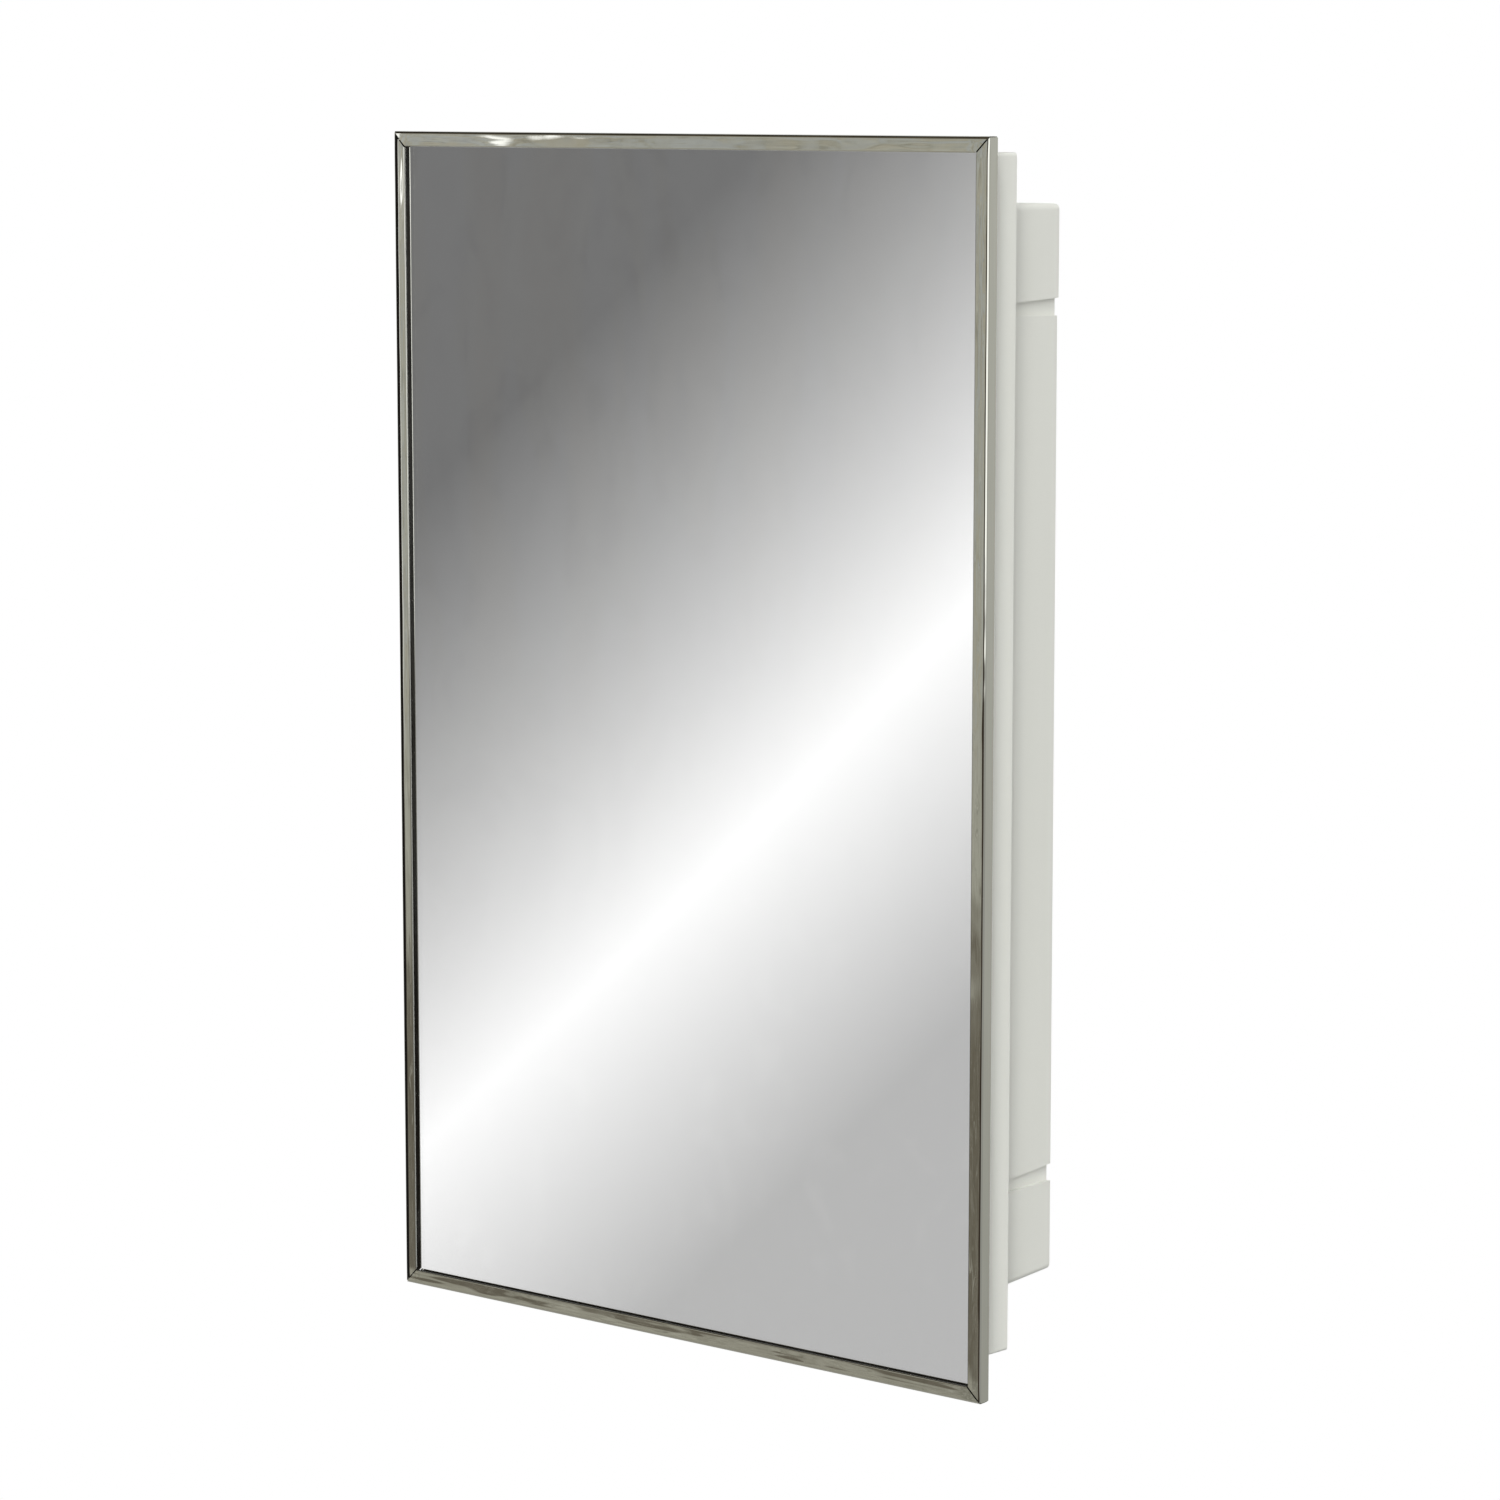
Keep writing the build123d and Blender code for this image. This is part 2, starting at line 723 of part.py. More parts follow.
with BuildPart() as strike_screws:
    for step in (-strike_screw_spacing / 2, strike_screw_spacing / 2):
        seat = (catch_mid, strike_rear, catch_z + step)
        flat_screw(seat, (0, -1, 0), strike_screw_head, strike_screw_radius, strike_screw_length)
strike_screws.part.label = "strike_screws"

with BuildPart() as door_bumpers:
    with BuildSketch(at_depth(flange_front)):
        with GridLocations(2 * bumper_x, 2 * bumper_z, 2, 2):
            Circle(bumper_radius)
    extrude(amount=bumper_height)
    fillet(door_bumpers.edges().group_by(Axis.Y)[0], radius=bumper_round)
door_bumpers.part.label = "door_bumpers"

# --- Files ---
built = [
    body_shell,
    corner_key_screws,
    door_back_panel,
    hinge_body_screws,
    hinge_door_rivets,
    catch_housing,
    catch_magnet,
    catch_pole_plates,
    catch_screws,
    strike_plate,
    strike_screws,
    door_bumpers,
]
pieces = [made.part for made in built] + shelves + rails + corner_keys + hinge_parts
pieces += [mirror_glass, mirror_silvering, backing_pad]
os.makedirs("parts", exist_ok=True)
for piece in pieces:
    export_step(piece, f"parts/{piece.label}.step")
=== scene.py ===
"""The looks of a medicine cabinet with a mirrored swing door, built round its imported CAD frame.

Units are metres. The door faces -Y, +X is to the right seen from the front and +Z is up.
"""

import json
import math

import bpy
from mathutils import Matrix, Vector, noise


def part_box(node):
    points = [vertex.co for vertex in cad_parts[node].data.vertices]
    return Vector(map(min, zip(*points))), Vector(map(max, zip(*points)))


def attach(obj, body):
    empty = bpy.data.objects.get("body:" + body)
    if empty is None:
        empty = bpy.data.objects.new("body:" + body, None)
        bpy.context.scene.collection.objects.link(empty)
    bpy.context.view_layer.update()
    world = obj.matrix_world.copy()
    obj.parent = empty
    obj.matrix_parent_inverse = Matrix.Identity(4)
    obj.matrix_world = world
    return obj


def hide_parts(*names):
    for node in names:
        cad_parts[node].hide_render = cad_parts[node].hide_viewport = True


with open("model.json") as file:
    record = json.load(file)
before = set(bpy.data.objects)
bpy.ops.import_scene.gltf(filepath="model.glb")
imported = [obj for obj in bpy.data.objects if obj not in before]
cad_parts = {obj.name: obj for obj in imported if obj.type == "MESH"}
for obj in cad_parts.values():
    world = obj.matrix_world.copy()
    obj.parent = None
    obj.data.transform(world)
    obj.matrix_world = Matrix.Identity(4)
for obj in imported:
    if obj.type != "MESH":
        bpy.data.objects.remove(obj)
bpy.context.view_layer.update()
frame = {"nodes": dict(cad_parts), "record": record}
scene = bpy.context.scene

# --- Sizes that the frame doesn't say outright, nearly all of them the rolled rails' ---
MM = 0.001
SHEET = 0.6 * MM
FRONT_LIP = 8.4 * MM
REAR_LIP = 12.0 * MM
LIP_TURN = 0.9 * MM
LIP_ROUND = 0.55 * MM
FRONT_CORNER = 1.4 * MM
REAR_CORNER = 1.0 * MM
MITRE_GAP = 0.55 * MM
SHOULDER_WIDTH = 2.6 * MM
SECTION_STEP = 2.0 * MM
END_CURL = 0.30 * MM
END_CURL_LENGTH = 6.0 * MM
CRISP_ANGLE = 40.0
MIRROR_GAP = 0.01 * MM

# --- Camera ---
AIM = Vector((0.0504, -0.1112, -0.0011))
AZIMUTH = 38.21
ELEVATION = 8.23
DISTANCE = 2.486
LENS = 110.96
SENSOR = 36.0

# --- Studio ---
FLOOR_Z = -0.8
FLOOR_SIZE = 60.0
GRADIENT_ACROSS = (-0.819, 0.0, 0.574)  # the card that the mirror sees changes along this direction
AHEAD = (-0.618, -0.786, 0.0)  # level, towards what the door's front reflects to the camera
BEHIND = (0.618, 0.786, 0.0)
SIDEWAYS = (-0.786, 0.618, 0.0)
TO_LAMP = (0.618, -0.786, 0.0)  # level, towards the lamp beside the camera
ACROSS_SOFT_LAMP = (0.857, 0.515, 0.0)
TO_SOFT_LAMP = (0.497, -0.828, 0.259)  # the tall narrow lamp that shades the matt plastic


# --- Node helpers ---
class Nodes:
    """Adds nodes to a node tree, each call giving back the new node's first output."""

    def __init__(self, tree):
        self.tree = tree

    def add(self, kind, inputs=(), **settings):
        """A node of this kind. inputs maps a socket's name or number to a value or an output."""
        node = self.tree.nodes.new(kind)
        for name, value in settings.items():
            setattr(node, name, value)
        for socket, value in dict(inputs).items():
            if isinstance(value, bpy.types.NodeSocket):
                self.tree.links.new(value, node.inputs[socket])
            else:
                node.inputs[socket].default_value = value
        return node

    def math(self, operation, *values):
        """The result of a Math node."""
        return self.add("ShaderNodeMath", enumerate(values), operation=operation).outputs[0]

    def product(self, first, *others):
        """All these values multiplied."""
        for other in others:
            first = self.math("MULTIPLY", first, other)
        return first

    def dot(self, vector, direction):
        """The vector's length along a fixed direction."""
        inputs = {0: vector, 1: direction}
        return self.add("ShaderNodeVectorMath", inputs, operation="DOT_PRODUCT").outputs["Value"]

    def step(self, value, low, high, start=0.0, end=1.0):
        """start below low, end above high, and smooth between them."""
        inputs = {"Value": value, "From Min": low, "From Max": high, "To Min": start, "To Max": end}
        return self.add("ShaderNodeMapRange", inputs, interpolation_type="SMOOTHSTEP").outputs[0]

    def fall(self, value, low, high):
        """1 below low, 0 above high, and smooth between them."""
        return self.step(value, low, high, 1.0, 0.0)

    def slope(self, value, low, high, start=0.0, end=1.0):
        """start below low, end above high, and straight between them."""
        inputs = {"Value": value, "From Min": low, "From Max": high, "To Min": start, "To Max": end}
        return self.add("ShaderNodeMapRange", inputs).outputs[0]

    def mix(self, share, first, second):
        """A blend of two colours."""
        node = self.add("ShaderNodeMix", {"Factor": share}, data_type="RGBA")
        for socket, value in ((node.inputs[6], first), (node.inputs[7], second)):
            if isinstance(value, bpy.types.NodeSocket):
                self.tree.links.new(value, socket)
            else:
                socket.default_value = (*value, 1.0)
        return node.outputs[2]

    def noise(self, vector, scale, detail=3.0, distortion=0.0):
        """The height of a noise texture."""
        inputs = {"Vector": vector, "Scale": scale, "Detail": detail, "Distortion": distortion}
        return self.add("ShaderNodeTexNoise", inputs).outputs[0]

    def scaled(self, vector, scale):
        """The vector, scaled along each axis."""
        return self.add("ShaderNodeMapping", {"Vector": vector, "Scale": scale}).outputs[0]

    def stretched(self, scale):
        """Object coordinates, scaled along each axis."""
        return self.scaled(self.add("ShaderNodeTexCoord").outputs["Object"], scale)

    def bump(self, height, distance, strength=1.0):
        """A bumped normal, for a height from 0 to 1 over this distance in metres."""
        inputs = {"Height": height, "Distance": distance, "Strength": strength}
        return self.add("ShaderNodeBump", inputs).outputs[0]


def material(name):
    """A new material, its node helper and its Principled shader."""
    made = bpy.data.materials.new(name)
    made.use_nodes = True
    shader = made.node_tree.nodes["Principled BSDF"]
    return made, Nodes(made.node_tree), shader


def connect(nodes, shader, **outputs):
    """Feeds the shader's sockets, named with _ for a space, from outputs."""
    for name, output in outputs.items():
        nodes.tree.links.new(output, shader.inputs[name.replace("_", " ")])


# --- Materials ---
def moulded_plastic():
    """Off-white polystyrene, with faint flow marks and a fine moulded grain."""
    made, nodes, shader = material("body_plastic")
    shader.inputs["IOR"].default_value = 1.5
    flow = nodes.noise(nodes.stretched((26.0, 26.0, 5.0)), 1.0, detail=4.0, distortion=0.6)
    grain = nodes.noise(nodes.stretched((1.0, 1.0, 1.0)), 900.0, detail=2.0)
    waves = nodes.noise(nodes.stretched((60.0, 60.0, 9.0)), 1.0, detail=2.0)
    colour = nodes.mix(flow, (0.775, 0.785, 0.740), (0.805, 0.812, 0.770))
    roughness = nodes.slope(flow, 0.3, 0.7, 0.32, 0.44)
    height = nodes.math("MULTIPLY_ADD", waves, 6.0, grain)
    connect(nodes, shader, Base_Color=colour, Roughness=roughness, Normal=nodes.bump(height, 0.03 * MM))
    return made


def bright_steel():
    """Bright roll-formed stainless steel, drawn slightly wavy along the rails."""
    made, nodes, shader = material("frame_steel")
    shader.inputs["Metallic"].default_value = 1.0
    smears = nodes.noise(nodes.stretched((90.0, 90.0, 14.0)), 1.0, detail=4.0, distortion=0.8)
    scratches = nodes.noise(nodes.stretched((1400.0, 1400.0, 30.0)), 1.0, detail=2.0)
    colour = nodes.mix(smears, (0.60, 0.605, 0.55), (0.68, 0.68, 0.64))
    roughness = nodes.slope(smears, 0.3, 0.75, 0.02, 0.06)
    connect(nodes, shader, Base_Color=colour, Roughness=roughness)
    connect(nodes, shader, Normal=nodes.bump(scratches, 0.002 * MM, 0.35))
    return made


def float_glass():
    """Clear float glass, very nearly colourless."""
    made, nodes, shader = material("clear_glass")
    shader.inputs["Transmission Weight"].default_value = 1.0
    shader.inputs["IOR"].default_value = 1.5
    shader.inputs["Roughness"].default_value = 0.0
    streaks = nodes.noise(nodes.stretched((2.0, 2.0, 0.6)), 1.0, detail=1.0)
    tint = nodes.mix(streaks, (0.982, 0.985, 0.984), (0.988, 0.99, 0.988))
    connect(nodes, shader, Base_Color=tint)
    return made


def silvering():
    """The silver layer behind the glass."""
    made, nodes, shader = material("mirror_silver")
    shader.inputs["Metallic"].default_value = 1.0
    shader.inputs["Roughness"].default_value = 0.0
    cloud = nodes.noise(nodes.stretched((3.0, 3.0, 3.0)), 1.0, detail=2.0)
    connect(nodes, shader, Base_Color=nodes.mix(cloud, (0.938, 0.936, 0.938), (0.948, 0.945, 0.948)))
    return made


def kraft_board():
    """Brown kraft board with its fibres."""
    made, nodes, shader = material("kraft_pad")
    fibres = nodes.noise(nodes.stretched((120.0, 120.0, 900.0)), 1.0, detail=6.0, distortion=1.2)
    specks = nodes.noise(nodes.stretched((500.0, 500.0, 500.0)), 1.0, detail=2.0)
    colour = nodes.mix(fibres, (0.33, 0.22, 0.12), (0.52, 0.38, 0.23))
    colour = nodes.mix(nodes.step(specks, 0.62, 0.7, 0.0, 0.35), colour, (0.22, 0.15, 0.09))
    shader.inputs["Roughness"].default_value = 0.9
    connect(nodes, shader, Base_Color=colour, Normal=nodes.bump(fibres, 0.1 * MM))
    return made


def lacquered_board():
    """White lacquered hardboard, with the board's faint texture under the paint."""
    made, nodes, shader = material("panel_board")
    weave = nodes.noise(nodes.stretched((700.0, 700.0, 700.0)), 1.0, detail=4.0)
    patches = nodes.noise(nodes.stretched((14.0, 14.0, 14.0)), 1.0, detail=3.0)
    colour = nodes.mix(patches, (0.78, 0.78, 0.75), (0.83, 0.83, 0.80))
    roughness = nodes.slope(patches, 0.3, 0.7, 0.42, 0.55)
    connect(nodes, shader, Base_Color=colour, Roughness=roughness, Normal=nodes.bump(weave, 0.08 * MM))
    return made


def zinc_plate():
    """Bright zinc plating over rolled steel, with fine brushing and dull spots."""
    made, nodes, shader = material("plated_steel")
    shader.inputs["Metallic"].default_value = 1.0
    brushing = nodes.noise(nodes.stretched((2500.0, 2500.0, 90.0)), 1.0, detail=3.0)
    spots = nodes.noise(nodes.stretched((160.0, 160.0, 160.0)), 1.0, detail=4.0)
    colour = nodes.mix(spots, (0.56, 0.57, 0.57), (0.70, 0.70, 0.68))
    roughness = nodes.slope(spots, 0.3, 0.7, 0.22, 0.40)
    connect(nodes, shader, Base_Color=colour, Roughness=roughness, Normal=nodes.bump(brushing, 0.01 * MM))
    return made


def screw_zinc():
    """Zinc-plated screws and rivets, in patches a little brighter and more worn."""
    made, nodes, shader = material("screw_steel")
    shader.inputs["Metallic"].default_value = 1.0
    wear = nodes.noise(nodes.stretched((900.0, 900.0, 900.0)), 1.0, detail=4.0)
    colour = nodes.mix(wear, (0.58, 0.58, 0.56), (0.74, 0.74, 0.72))
    roughness = nodes.slope(wear, 0.3, 0.7, 0.18, 0.38)
    connect(nodes, shader, Base_Color=colour, Roughness=roughness, Normal=nodes.bump(wear, 0.02 * MM))
    return made


def ferrite():
    """The catch's dull black ceramic magnet."""
    made, nodes, shader = material("ferrite")
    pits = nodes.noise(nodes.stretched((1500.0, 1500.0, 1500.0)), 1.0, detail=3.0)
    colour = nodes.mix(pits, (0.035, 0.035, 0.038), (0.075, 0.075, 0.08))
    roughness = nodes.slope(pits, 0.3, 0.7, 0.6, 0.8)
    connect(nodes, shader, Base_Color=colour, Roughness=roughness, Normal=nodes.bump(pits, 0.04 * MM))
    return made


def soft_rubber():
    """Soft translucent white bumpers."""
    made, nodes, shader = material("bumper_rubber")
    shader.inputs["Subsurface Weight"].default_value = 0.3
    shader.inputs["Subsurface Scale"].default_value = 1.0 * MM
    bloom = nodes.noise(nodes.stretched((700.0, 700.0, 700.0)), 1.0, detail=3.0)
    colour = nodes.mix(bloom, (0.66, 0.66, 0.62), (0.76, 0.76, 0.73))
    roughness = nodes.slope(bloom, 0.3, 0.7, 0.5, 0.65)
    connect(nodes, shader, Base_Color=colour, Roughness=roughness)
    return made


def shade_darkened_steel():
    """The rails' inner side: rough rolled steel, its colour painted nearly black as the shade inside the
    rolled channel.
    """
    made, nodes, shader = material("frame_steel_inside")
    shader.inputs["Metallic"].default_value = 1.0
    smears = nodes.noise(nodes.stretched((200.0, 200.0, 200.0)), 1.0, detail=3.0)
    # Painted shade: the near-black colour stands in for the shade inside the channel, not the steel's own
    # tone
    colour = nodes.mix(smears, (0.055, 0.05, 0.045), (0.10, 0.095, 0.085))
    roughness = nodes.slope(smears, 0.3, 0.7, 0.5, 0.7)
    connect(nodes, shader, Base_Color=colour, Roughness=roughness)
    return made


# The rails' inner side, steel painted dark as shade
shaded_inside = shade_darkened_steel()
finishes = {
    "body_plastic": moulded_plastic(),
    "frame_steel": bright_steel(),
    "clear_glass": float_glass(),
    "mirror_silver": silvering(),
    "kraft_pad": kraft_board(),
    "panel_board": lacquered_board(),
    "plated_steel": zinc_plate(),
    "screw_steel": screw_zinc(),
    "ferrite": ferrite(),
    "bumper_rubber": soft_rubber(),
}

for part in frame["record"]["subparts"]:
    piece = frame["nodes"][part["node"]]
    for holder in piece.material_slots:
        holder.material = finishes[part["material_slot"]]

# The silver sits a hair behind the glass, so that the two faces are never at the same depth
set_back = frame["nodes"]["mirror_silvering"].modifiers.new("behind_glass", "DISPLACE")
set_back.strength = -MIRROR_GAP
set_back.mid_level = 0.0


# --- Door rails ---
def arc(centre, radius, start, end, count):
    """Points and normals round an arc, in degrees from the inward direction towards the back."""
    points = []
    for i in range(count + 1):
        angle = math.radians(start + (end - start) * i / count)
        normal = Vector((math.cos(angle), math.sin(angle)))
        points.append((centre + radius * normal, normal))
    return points


def straight(start, end, normal, count):
    """Points between two ends, without the ends themselves."""
    start = Vector(start)
    end = Vector(end)
    return [(start.lerp(end, i / count), Vector(normal)) for i in range(1, count)]


def rail_outline(depth):
    """The rolled section's outer side: points (inward, back) with outward normals."""
    outline = [(Vector((FRONT_LIP, LIP_TURN)), Vector((1, 0)))]
    outline += arc(Vector((FRONT_LIP - LIP_ROUND, LIP_ROUND)), LIP_ROUND, 0, -90, 6)
    face_start = Vector((FRONT_LIP - LIP_ROUND, 0))
    face_end = Vector((FRONT_CORNER, 0))
    outline += straight(face_start, face_end, (0, -1), 22)
    outline += arc(Vector((FRONT_CORNER, FRONT_CORNER)), FRONT_CORNER, -90, -180, 10)
    outline += straight((0, FRONT_CORNER), (0, depth - REAR_CORNER), (-1, 0), 8)
    outline += arc(Vector((REAR_CORNER, depth - REAR_CORNER)), REAR_CORNER, 180, 90, 6)
    outline += straight((REAR_CORNER, depth), (REAR_LIP, depth), (0, 1), 6)
    outline.append((Vector((REAR_LIP, depth)), Vector((0, 1))))
    return outline


def wave(along, inward, length, width, seed):
    """One random wave, from about -1 to 1, of this length along the rail and width across it."""
    return noise.noise(Vector((along / length, inward / width, seed)))


def ripple(along, inward, seed):
    """How far the front face stands back from its plane, from the rolling and the fitting."""
    slow = wave(along, inward, 45 * MM, 7.0 * MM, seed)
    short = wave(along, inward, 14 * MM, 3.6 * MM, seed + 7.3)
    fine = wave(along, inward, 50 * MM, 1.7 * MM, seed + 3.1)
    return (0.066 * slow + 0.028 * short + 0.015 * fine) * MM


def dent(along, inward, places):
    """Shallow dents in the front face, each a place along it, a length and a depth."""
    total = 0.0
    for centre, length, deep in places:
        bell = math.exp(-(((along - centre) / length) ** 2))
        total += deep * bell * (inward / FRONT_LIP)
    return total


def sunk(run, across, length, seed, shape, places):
    """How far the front face stands back at a place on it, run along the rail and across it."""
    bulge, roll_off, lean, waviness = shape
    middle = (across - FRONT_CORNER) / (FRONT_LIP - FRONT_CORNER)
    crown = bulge * (2 * middle - 1) ** 2
    shoulder = max(0.0, 1.0 - (across - FRONT_CORNER) / SHOULDER_WIDTH)
    near_end = min(run, length - run) / END_CURL_LENGTH
    curl = END_CURL * math.exp(-near_end * near_end)
    sink = crown + roll_off * shoulder**2 + curl + lean * across / FRONT_LIP
    return sink + waviness * ripple(run, across, seed) + dent(run, across, places)


def rail_vertices(start, inward, length, outline, seed, shape, places):
    """Both sides of the section at each step from one mitre to the other."""
    along = inward.cross(Vector((0, 1, 0)))
    count = round(length / SECTION_STEP)
    vertices = []
    for i in range(count + 1):
        for inset in (0.0, SHEET):
            for place, normal in outline:
                across = place.x - normal.x * inset
                back = place.y - normal.y * inset
                end = MITRE_GAP + max(across, 0.0)
                run = end + i / count * (length - 2 * end)
                if place.y < FRONT_CORNER:
                    facing_front = max(0.0, -normal.y)
                    back += facing_front * sunk(run, across, length, seed, shape, places)
                vertices.append(start + inward * across + along * run + Vector((0, back, 0)))
    return vertices


def rail_faces(half, count):
    """The faces between sections of half points a side, and whether each is on the inner side."""
    ring = 2 * half
    faces = []
    hidden = []
    for i in range(count):
        a = i * ring
        b = a + ring
        for j in range(half - 1):
            faces.append((a + j, b + j, b + j + 1, a + j + 1))
            k = half + j
            faces.append((a + k, a + k + 1, b + k + 1, b + k))
            hidden += [False, True]
        faces.append((a, a + half, b + half, b))
        faces.append((a + half - 1, b + half - 1, b + ring - 1, a + ring - 1))
        hidden += [False, False]
    for a, flip in ((0, False), (count * ring, True)):
        for j in range(half - 1):
            quad = (a + j, a + j + 1, a + half + j + 1, a + half + j)
            faces.append(quad[::-1] if flip else quad)
            hidden.append(False)
    return faces, hidden


def rail(name, start, inward, length, depth, seed, shape, places):
    """One mitred rail of the door, run from the corner start with its lips along inward."""
    outline = rail_outline(depth)
    vertices = rail_vertices(start, inward, length, outline, seed, shape, places)
    faces, hidden = rail_faces(len(outline), round(length / SECTION_STEP))
    mesh = bpy.data.meshes.new(name)
    mesh.from_pydata(vertices, [], faces)
    mesh.shade_smooth()
    mesh.materials.append(finishes["frame_steel"])
    # The inner side gets the steel painted dark as the shade inside the channel
    mesh.materials.append(shaded_inside)
    for polygon, inside in zip(mesh.polygons, hidden):
        polygon.material_index = int(inside)
    made = bpy.data.objects.new(name, mesh)
    scene.collection.objects.link(made)
    edges = made.modifiers.new("crisp_ends", "EDGE_SPLIT")
    edges.split_angle = math.radians(CRISP_ANGLE)
    return made


low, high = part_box("frame_rail_left")
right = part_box("frame_rail_right")[1][0]
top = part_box("frame_rail_top")[1][2]
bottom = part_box("frame_rail_bottom")[0][2]
left = low[0]
face_y = low[1]
rail_depth = high[1] - low[1]

# Each rail's first corner, its inward direction and its length
runs = {
    "top": ((left, face_y, top), (0, 0, -1), right - left),
    "right": ((right, face_y, top), (-1, 0, 0), top - bottom),
    "bottom": ((right, face_y, bottom), (0, 0, 1), right - left),
    "left": ((left, face_y, bottom), (1, 0, 0), top - bottom),
}
# The front face's bulge, its fall towards the outer corner, its lean and its waviness
shapes = {
    "top": (0.020 * MM, 0.08 * MM, 0.0, 1.0),
    "right": (0.030 * MM, 0.08 * MM, 0.0, 1.5),
    "bottom": (0.008 * MM, 0.03 * MM, -0.13 * MM, 1.0),
    "left": (0.050 * MM, 0.33 * MM, 0.0, 1.0),
}
# Dents, each with its place along the rail, its length and its depth
dents = {
    "top": [(0.078, 0.026, -0.40 * MM)],
    "right": [
        (0.297, 0.004, 0.030 * MM),
        (0.306, 0.003, -0.030 * MM),
        (0.316, 0.004, 0.035 * MM),
        (0.430, 0.022, 0.20 * MM),
    ],
    "bottom": [
        (0.060, 0.030, 0.16 * MM),
        (0.130, 0.012, 0.12 * MM),
        (0.220, 0.018, 0.10 * MM),
        (0.285, 0.012, -0.08 * MM),
        (0.345, 0.010, 0.13 * MM),
    ],
    "left": [(0.200, 0.050, -0.12 * MM), (0.636, 0.034, -0.37 * MM)],
}
for seed, (side, (start, inward, length)) in enumerate(runs.items()):
    name = f"rolled_rail_{side}"
    place = (Vector(start), Vector(inward), length, rail_depth)
    made = rail(name, *place, 11.0 * seed, shapes[side], dents[side])
    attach(made, "door")
    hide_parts(f"frame_rail_{side}")


# --- Floor ---
def pale_floor():
    """A pale floor that the camera sees as white, as the world round it."""
    made = bpy.data.materials.new("floor")
    made.use_nodes = True
    made.node_tree.nodes.clear()
    nodes = Nodes(made.node_tree)
    seen = nodes.add("ShaderNodeLightPath").outputs["Is Camera Ray"]
    white = nodes.add("ShaderNodeEmission", {"Color": (1, 1, 1, 1)}).outputs[0]
    pale = nodes.add("ShaderNodeBsdfDiffuse", {"Color": (0.45, 0.45, 0.44, 1)}).outputs[0]
    both = nodes.add("ShaderNodeMixShader", {0: seen, 1: pale, 2: white}).outputs[0]
    nodes.add("ShaderNodeOutputMaterial", {0: both})
    return made


def add_floor():
    """A wide floor under the cabinet, left out of what its surfaces see."""
    mesh = bpy.data.meshes.new("floor")
    reach = FLOOR_SIZE / 2
    outline = ((-1, -1), (1, -1), (1, 1), (-1, 1))
    vertices = [(x * reach, y * reach, FLOOR_Z) for x, y in outline]
    mesh.from_pydata(vertices, [], [(0, 1, 2, 3)])
    mesh.materials.append(pale_floor())
    made = bpy.data.objects.new("floor", mesh)
    scene.collection.objects.link(made)
    made.visible_diffuse = False
    made.visible_glossy = False
    made.visible_transmission = False
    return made


floor = add_floor()


# --- World ---
def soft_light(nodes, way, parts):
    """What matt surfaces see: an even studio, brighter behind, and a tall lamp at the front right."""
    rise = nodes.slope(parts["Z"], -1.0, 1.0)
    fore = nodes.mix(rise, (0.20, 0.199, 0.193), (0.40, 0.40, 0.394))
    rear = nodes.mix(rise, (0.38, 0.378, 0.366), (0.86, 0.86, 0.85))
    even = nodes.mix(nodes.step(parts["Y"], -0.3, 0.3), fore, rear)
    beside = nodes.math("ABSOLUTE", nodes.dot(way, ACROSS_SOFT_LAMP))
    towards = nodes.step(nodes.dot(way, TO_SOFT_LAMP), 0.70, 0.90)
    lamp = nodes.product(nodes.fall(beside, 0.07, 0.15), towards)
    return nodes.mix(lamp, even, (12.4, 12.4, 12.15))


def mirror_card(nodes, way):
    """What the mirror sees: a card that runs from grey through white to light grey."""
    across = nodes.dot(way, GRADIENT_ACROSS)
    rising = nodes.slope(across, 0.351, 0.408, 0.725, 1.03)
    falling = nodes.slope(across, 0.407, 0.498, 1.03, 0.430)
    tone = nodes.math("MINIMUM", rising, falling)
    return nodes.product(nodes.math("POWER", tone, 2.2), 1.09)


def bright_strips(nodes, sideways, height):
    """Where the grey card carries two bright strips, one upright and one slanted."""
    upright = nodes.product(
        nodes.step(sideways, 0.15, 0.16),
        nodes.fall(sideways, 0.175, 0.19),
        nodes.step(height, -0.16, -0.10),
    )
    slant = nodes.math("MULTIPLY_ADD", sideways, -4.0, height)
    slanted = nodes.product(
        nodes.step(slant, -0.17, -0.155),
        nodes.fall(slant, -0.115, -0.10),
        nodes.step(sideways, 0.038, 0.048),
        nodes.fall(sideways, 0.060, 0.072),
        nodes.step(height, 0.0, 0.02),
    )
    return nodes.math("MAXIMUM", upright, slanted)


def grey_card(nodes, way, sideways, height):
    """The card ahead of the door: darker low down, with streaks, tints and bright strips."""
    card = nodes.mix(nodes.step(height, -0.205, -0.160), (0.185, 0.165, 0.130), (0.485, 0.48, 0.42))
    low_band = nodes.mix(nodes.step(sideways, -0.06, -0.01), (0.30, 0.29, 0.245), (0.43, 0.415, 0.355))
    card = nodes.mix(nodes.step(height, -0.284, -0.268), low_band, card)
    upper = nodes.step(height, -0.17, -0.11)
    pale = nodes.product(nodes.step(sideways, 0.03, 0.13, 0.0, 0.45), upper)
    card = nodes.mix(pale, card, (0.75, 0.76, 0.74))
    streaks = nodes.noise(nodes.scaled(way, (85, 85, 38)), 1.0, detail=4.0, distortion=2.0)
    card = nodes.mix(nodes.step(streaks, 0.36, 0.52, 0.50, 0.0), card, (0.15, 0.14, 0.115))
    card = nodes.mix(nodes.step(streaks, 0.54, 0.66, 0.0, 0.55), card, (0.64, 0.63, 0.57))
    tints = nodes.noise(nodes.scaled(way, (110, 110, 12)), 1.0, detail=1.0)
    blue = nodes.product(nodes.step(tints, 0.52, 0.58, 0.0, 0.5), upper)
    card = nodes.mix(blue, card, (0.53, 0.56, 0.60))
    beige = nodes.product(nodes.step(tints, 0.40, 0.46, 0.5, 0.0), upper)
    card = nodes.mix(beige, card, (0.52, 0.47, 0.37))
    return nodes.mix(bright_strips(nodes, sideways, height), card, (1.7, 1.7, 1.7))


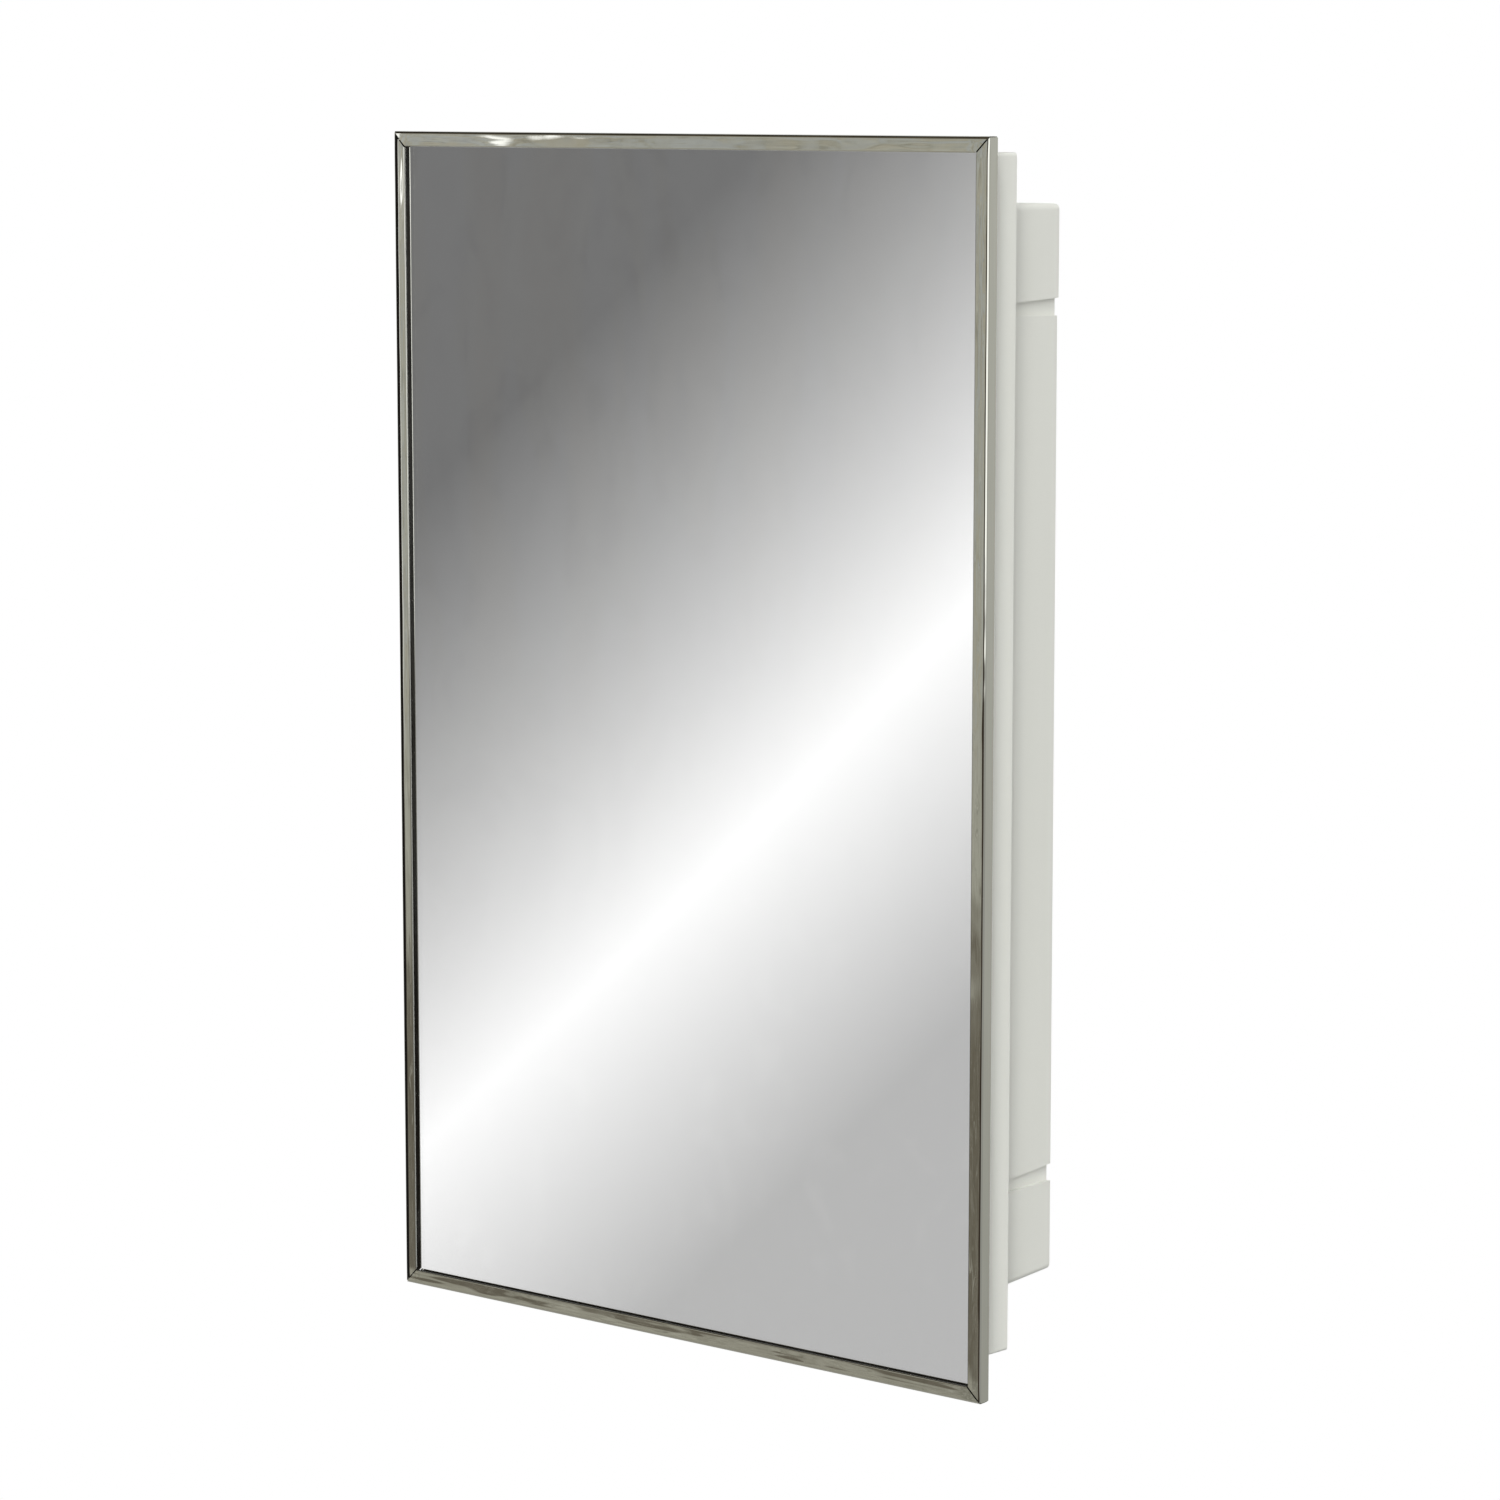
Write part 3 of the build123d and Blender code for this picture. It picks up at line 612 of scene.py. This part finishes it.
def metal_room(nodes, way, parts):
    """What bright metal sees: the grey card in a dark room, a pale wall behind and a lamp."""
    height = parts["Z"]
    sideways = nodes.dot(way, SIDEWAYS)
    room = nodes.mix(nodes.step(height, -0.62, -0.35), (0.42, 0.41, 0.37), (0.11, 0.092, 0.065))
    room = nodes.mix(nodes.step(parts["X"], 0.20, 0.55), room, (0.40, 0.40, 0.38))

    # The grey card ahead
    on_card = nodes.product(
        nodes.fall(nodes.math("ABSOLUTE", sideways), 0.20, 0.235),
        nodes.fall(height, 0.19, 0.23),
        nodes.step(height, -0.48, -0.42),
        nodes.step(nodes.dot(way, AHEAD), 0.2, 0.4),
    )
    room = nodes.mix(on_card, room, grey_card(nodes, way, sideways, height))

    # Dark on both sides of the card: brown on the camera's side, which draws the right rail's outer
    # corner as a line, and nearly black on the other, for the left rail's outer corner
    brown = nodes.product(
        nodes.fall(sideways, -0.26, -0.235),
        nodes.fall(parts["X"], 0.2, 0.4),
        nodes.fall(nodes.dot(way, BEHIND), -0.2, 0.0),
    )
    room = nodes.mix(brown, room, (0.045, 0.032, 0.026))
    black = nodes.product(nodes.step(sideways, 0.235, 0.26), nodes.step(height, -0.6, -0.3))
    room = nodes.mix(black, room, (0.014, 0.013, 0.012))

    # The pale wall behind the cabinet, then the lamp
    wall = nodes.mix(nodes.slope(height, -0.35, 0.15), (0.40, 0.40, 0.37), (0.70, 0.70, 0.66))
    room = nodes.mix(nodes.step(parts["Y"], 0.1, 0.45), room, wall)
    lamp = nodes.product(
        nodes.step(nodes.dot(way, TO_LAMP), 0.80, 0.90),
        nodes.fall(height, 0.12, 0.17),
        nodes.step(height, -0.135, -0.10),
    )
    return nodes.mix(lamp, room, (1.5, 1.5, 1.47))


def studio_light():
    """White for the camera, and its own studio for matt surfaces, bright metal and the mirror."""
    world = bpy.data.worlds.new("studio")
    scene.world = world
    world.use_nodes = True
    world.node_tree.nodes.clear()
    nodes = Nodes(world.node_tree)
    way = nodes.add("ShaderNodeTexCoord").outputs["Generated"]
    parts = nodes.add("ShaderNodeSeparateXYZ", {0: way}).outputs
    ray = nodes.add("ShaderNodeLightPath").outputs
    light = nodes.mix(ray["Is Glossy Ray"], soft_light(nodes, way, parts), metal_room(nodes, way, parts))
    light = nodes.mix(ray["Is Transmission Ray"], light, mirror_card(nodes, way))
    light = nodes.mix(ray["Is Camera Ray"], light, (1.0, 1.0, 1.0))
    background = nodes.add("ShaderNodeBackground", {0: light})
    nodes.add("ShaderNodeOutputWorld", {0: background.outputs[0]})


studio_light()


# --- Camera ---
def add_camera():
    """The photograph's view, from the right and a little above."""
    azimuth = math.radians(AZIMUTH)
    elevation = math.radians(ELEVATION)
    back = Vector((
        math.sin(azimuth) * math.cos(elevation),
        -math.cos(azimuth) * math.cos(elevation),
        math.sin(elevation),
    ))
    data = bpy.data.cameras.new("camera")
    data.lens = LENS
    data.sensor_width = SENSOR
    data.clip_end = 200.0
    camera = bpy.data.objects.new("camera", data)
    scene.collection.objects.link(camera)
    camera.location = AIM + DISTANCE * back
    camera.rotation_euler = (-back).to_track_quat("-Z", "Y").to_euler()
    scene.camera = camera


add_camera()
scene.view_settings.view_transform = "Standard"
